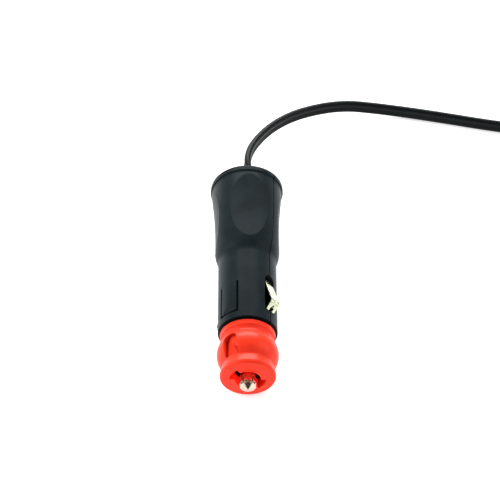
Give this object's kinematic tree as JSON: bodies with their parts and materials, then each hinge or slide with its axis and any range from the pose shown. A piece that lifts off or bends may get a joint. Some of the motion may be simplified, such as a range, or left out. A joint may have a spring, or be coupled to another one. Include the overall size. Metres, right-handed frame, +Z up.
{
  "type": "cigarette lighter plug",
  "caption": "Vehicle lighter-socket power plug with a twist-off slim-socket adapter, sprung centre pin, side contacts, fuse and flat twin lead.",
  "frame": {"origin": "floor point under the middle of the plug itself, without its lead", "axes": "-Y towards the plug's tip, +Z up, +X across to the right as seen from the tip's side above"},
  "size_m": [0.1876, 0.1516, 0.027],
  "materials": {
    "black_plastic": "fine satin moulded black",
    "red_plastic": "semi-gloss bright red moulding",
    "nickel": "turned and nickel plated",
    "spring_steel": "plain spring wire",
    "screw_steel": "zinc plated",
    "contact_metal": "plated pressed sheet",
    "brass": "plain",
    "fuse_glass": "clear",
    "fuse_wire": "tinned wire",
    "black_rubber": "soft matt moulding",
    "cord_black": "smooth twin insulation",
    "wire_red": "thin insulation",
    "wire_black": "thin insulation",
    "insulator_black": "plain"
  },
  "bodies": {
    "housing": {"shell_upper": "black_plastic", "shell_lower": "black_plastic", "housing_screw": "screw_steel", "pin_spring": "spring_steel", "positive_terminal": "brass", "ground_bridge": "contact_metal", "nose_contact_right": "contact_metal", "nose_contact_left": "contact_metal", "cable_bush": "black_rubber", "cord_jacket_end": "cord_black", "positive_wire": "wire_red", "negative_wire": "wire_black", "cord_lead": "cord_black", "cord_coil": "cord_black", "cord_tail": "cord_black", "dc_plug_grip": "black_rubber", "dc_plug_sleeve": "nickel", "dc_plug_insulator": "insulator_black", "dc_plug_contact": "nickel"},
    "pin": {"centre_pin": "nickel", "pin_crown_nut": "nickel", "fuse_glass": "fuse_glass", "fuse_cap_front": "nickel", "fuse_cap_rear": "nickel", "fuse_wire": "fuse_wire"},
    "adapter": {"adapter_sleeve": "red_plastic"},
    "contact_right": {"side_contact_right": "contact_metal"},
    "contact_left": {"side_contact_left": "contact_metal"}
  },
  "joints": [
    {"name": "pin_slide", "type": "slide", "parent": "housing", "child": "pin", "axis": [0, 0.9993, 0.038], "range_m": [0, 0.0022], "stiffness_N_per_m": 1200, "springref_m": -0.002, "deforming": ["pin_spring"]},
    {"name": "contact_right_hinge", "type": "hinge", "parent": "housing", "child": "contact_right", "pos_m": [0.00585, -0.00398, 0.01682], "axis": [0.6508, 0.0289, -0.7587], "range_deg": [0, 9.5], "stiffness_Nm_per_rad": 0.12, "springref_deg": -2.86},
    {"name": "contact_left_hinge", "type": "hinge", "parent": "housing", "child": "contact_left", "pos_m": [-0.00585, -0.0036, 0.00681], "axis": [-0.6508, -0.0289, 0.7587], "range_deg": [0, 9.5], "stiffness_Nm_per_rad": 0.12, "springref_deg": -2.86},
    {"name": "adapter_twist", "type": "hinge", "parent": "housing", "child": "adapter", "pos_m": [0, -0.03546, 0.01061], "axis": [0, -0.9993, -0.038], "range_deg": [0, 40]}
  ]
}
